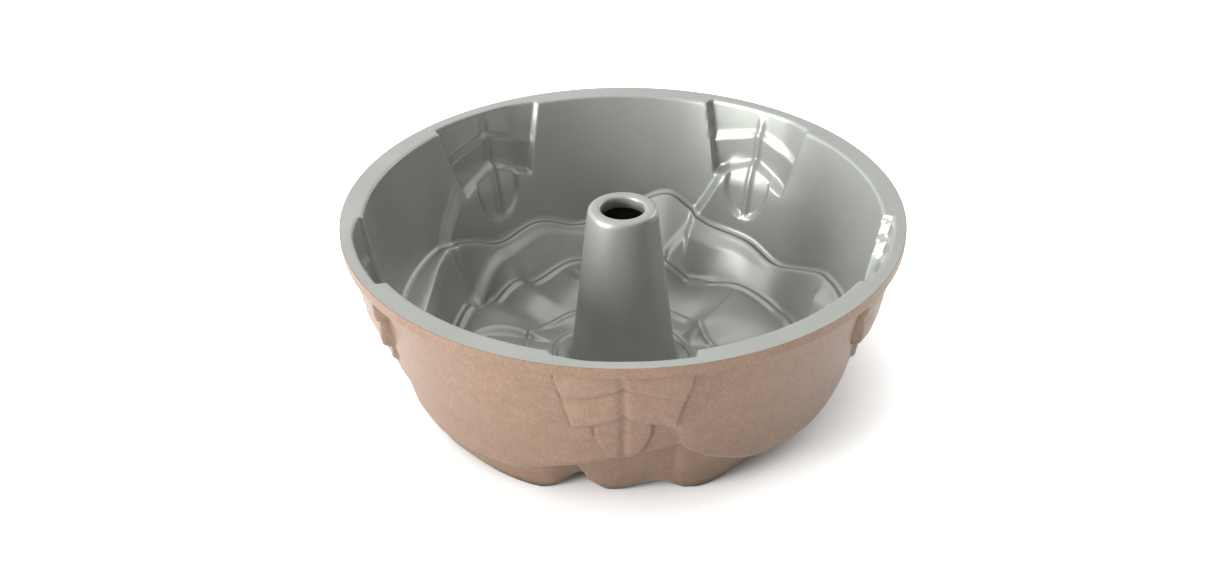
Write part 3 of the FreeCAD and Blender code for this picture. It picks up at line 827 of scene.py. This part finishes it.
class PAN_OT_finish(bpy.types.Operator):
    """Builds the metallic finish outside"""
    bl_idname = "pan.finish"
    bl_label = "Metallic finish"

    def execute(self, context):
        relief = Relief(context.scene.pan_sizes, ring_angles(COLUMNS))
        relief.crease = CREASE_DEPTH
        material = rose_gold_metallic(context.scene.pan_colours)
        names = ("finish_of_outer_petals", "finish_of_inner_petals", "finish_of_tube_hollow")
        # The tube's hollow gets a dark material: painted shade.
        inside = painted_shade_hollow(context.scene.pan_colours)
        for piece in coat_pieces(relief.outside_face(), names, relief, inward=True):
            coating = inside if piece.name == names[-1] else material
            finished(piece, coating, "metallic_finish", "metallic_finish")
        return {"FINISHED"}


BRIGHT_SIDE = (-0.75, 0.25, 0.61)   # the room is brightest this way, and dark the other way
ROOM_DARK = -0.6            # level along that way where the room's light starts
ROOM_STRENGTH = 1.70
FLOOR_SIZE = 6.0
KEY_LIGHT = ((-1.74, -0.95, 0.48), 0.9, 66.0)   # place and size in metres, and power in watts
BACK_LIGHT = ((1.30, 1.00, 0.80), 1.0, 9.0)


def studio_world():
    """A white room whose left side and ceiling are brighter than its right side."""
    world = bpy.data.worlds.new("studio")
    world.use_nodes = True
    tree = world.node_tree
    tree.nodes.clear()
    toward = node(tree, "ShaderNodeTexCoord").outputs["Generated"]
    bright_side = node(tree, "ShaderNodeVectorMath", {"operation": "DOT_PRODUCT", 1: BRIGHT_SIDE},
                       {0: toward})
    level = node(tree, "ShaderNodeMapRange",
                 {"From Min": ROOM_DARK, "To Min": 0.0, "To Max": ROOM_STRENGTH},
                 {"Value": bright_side.outputs["Value"]})
    room = node(tree, "ShaderNodeBackground", {"Color": grey(1.0)},
                {"Strength": level.outputs["Result"]})
    node(tree, "ShaderNodeOutputWorld", {}, {"Surface": room.outputs["Background"]})
    return world


class PAN_OT_stage(bpy.types.Operator):
    """Sets out the floor, the lights and the camera"""
    bl_idname = "pan.stage"
    bl_label = "Stage"

    def execute(self, context):
        bpy.ops.object.select_all(action="DESELECT")
        bpy.ops.mesh.primitive_plane_add(size=FLOOR_SIZE, location=(0.0, 0.0, 0.0))
        floor = context.active_object
        floor.name = "studio_floor"
        floor.data.materials.append(studio_floor(context.scene.pan_colours))

        area_light("key", *KEY_LIGHT)
        area_light("back", *BACK_LIGHT)
        context.scene.world = studio_world()
        context.scene.view_settings.view_transform = "Standard"
        make_camera(context, context.scene.pan_sizes.height)
        return {"FINISHED"}


AIM = Vector((0.0, 0.0, 0.05))


def area_light(name, place, size, power):
    """A soft square light turned to the pan."""
    bpy.ops.object.light_add(type="AREA", location=place)
    light = bpy.context.active_object
    light.name = name
    light.data.shape = "SQUARE"
    light.data.size = size
    light.data.energy = power
    light.rotation_euler = (AIM - light.location).to_track_quat("-Z", "Y").to_euler()


CAMERA_DISTANCE = 0.7249    # from the centre of the rim's plane
CAMERA_ELEVATION = 29.36
CAMERA_PAN = 0.303
CAMERA_TILT = -2.634
CAMERA_ROLL = 0.249
LENS = 46.87


def make_camera(context, height):
    """A view over the rim from the front, a little above the pan."""
    elevation = math.radians(CAMERA_ELEVATION)
    bpy.ops.object.camera_add()
    camera = context.active_object
    camera.name = "camera"
    camera.data.lens = LENS
    place = Vector((0.0, -math.cos(elevation), math.sin(elevation))) * CAMERA_DISTANCE
    level = Matrix.Rotation(math.radians(90.0 - CAMERA_ELEVATION), 4, "X")
    pan = Matrix.Rotation(math.radians(CAMERA_PAN), 4, "Y")
    tilt = Matrix.Rotation(math.radians(CAMERA_TILT), 4, "X")
    roll = Matrix.Rotation(math.radians(-CAMERA_ROLL), 4, "Z")
    camera.matrix_world = Matrix.Translation(place + Vector((0.0, 0.0, height))) @ level @ pan @ tilt @ roll
    context.scene.camera = camera


class PAN_PT_panel(bpy.types.Panel):
    bl_label = "Cake pan"
    bl_idname = "PAN_PT_panel"
    bl_space_type = "VIEW_3D"
    bl_region_type = "UI"
    bl_category = "Cake pan"

    def draw(self, context):
        for group in (context.scene.pan_sizes, context.scene.pan_colours):
            box = self.layout.box()
            for name in group.bl_rna.properties.keys():
                if name not in ("rna_type", "name"):
                    box.prop(group, name)
        for operator in STEPS:
            self.layout.operator(operator.bl_idname)


STEPS = (PAN_OT_casting, PAN_OT_lining, PAN_OT_finish, PAN_OT_stage)
CLASSES = (PanSizes, PanColours) + STEPS + (PAN_PT_panel,)


def register():
    for cls in CLASSES:
        bpy.utils.register_class(cls)
    bpy.types.Scene.pan_sizes = bpy.props.PointerProperty(type=PanSizes)
    bpy.types.Scene.pan_colours = bpy.props.PointerProperty(type=PanColours)


def unregister():
    del bpy.types.Scene.pan_colours
    del bpy.types.Scene.pan_sizes
    for cls in reversed(CLASSES):
        bpy.utils.unregister_class(cls)


def main():
    register()
    bpy.ops.pan.casting()
    bpy.ops.pan.lining()
    bpy.ops.pan.finish()
    bpy.ops.pan.stage()


if __name__ == "__main__":
    main()
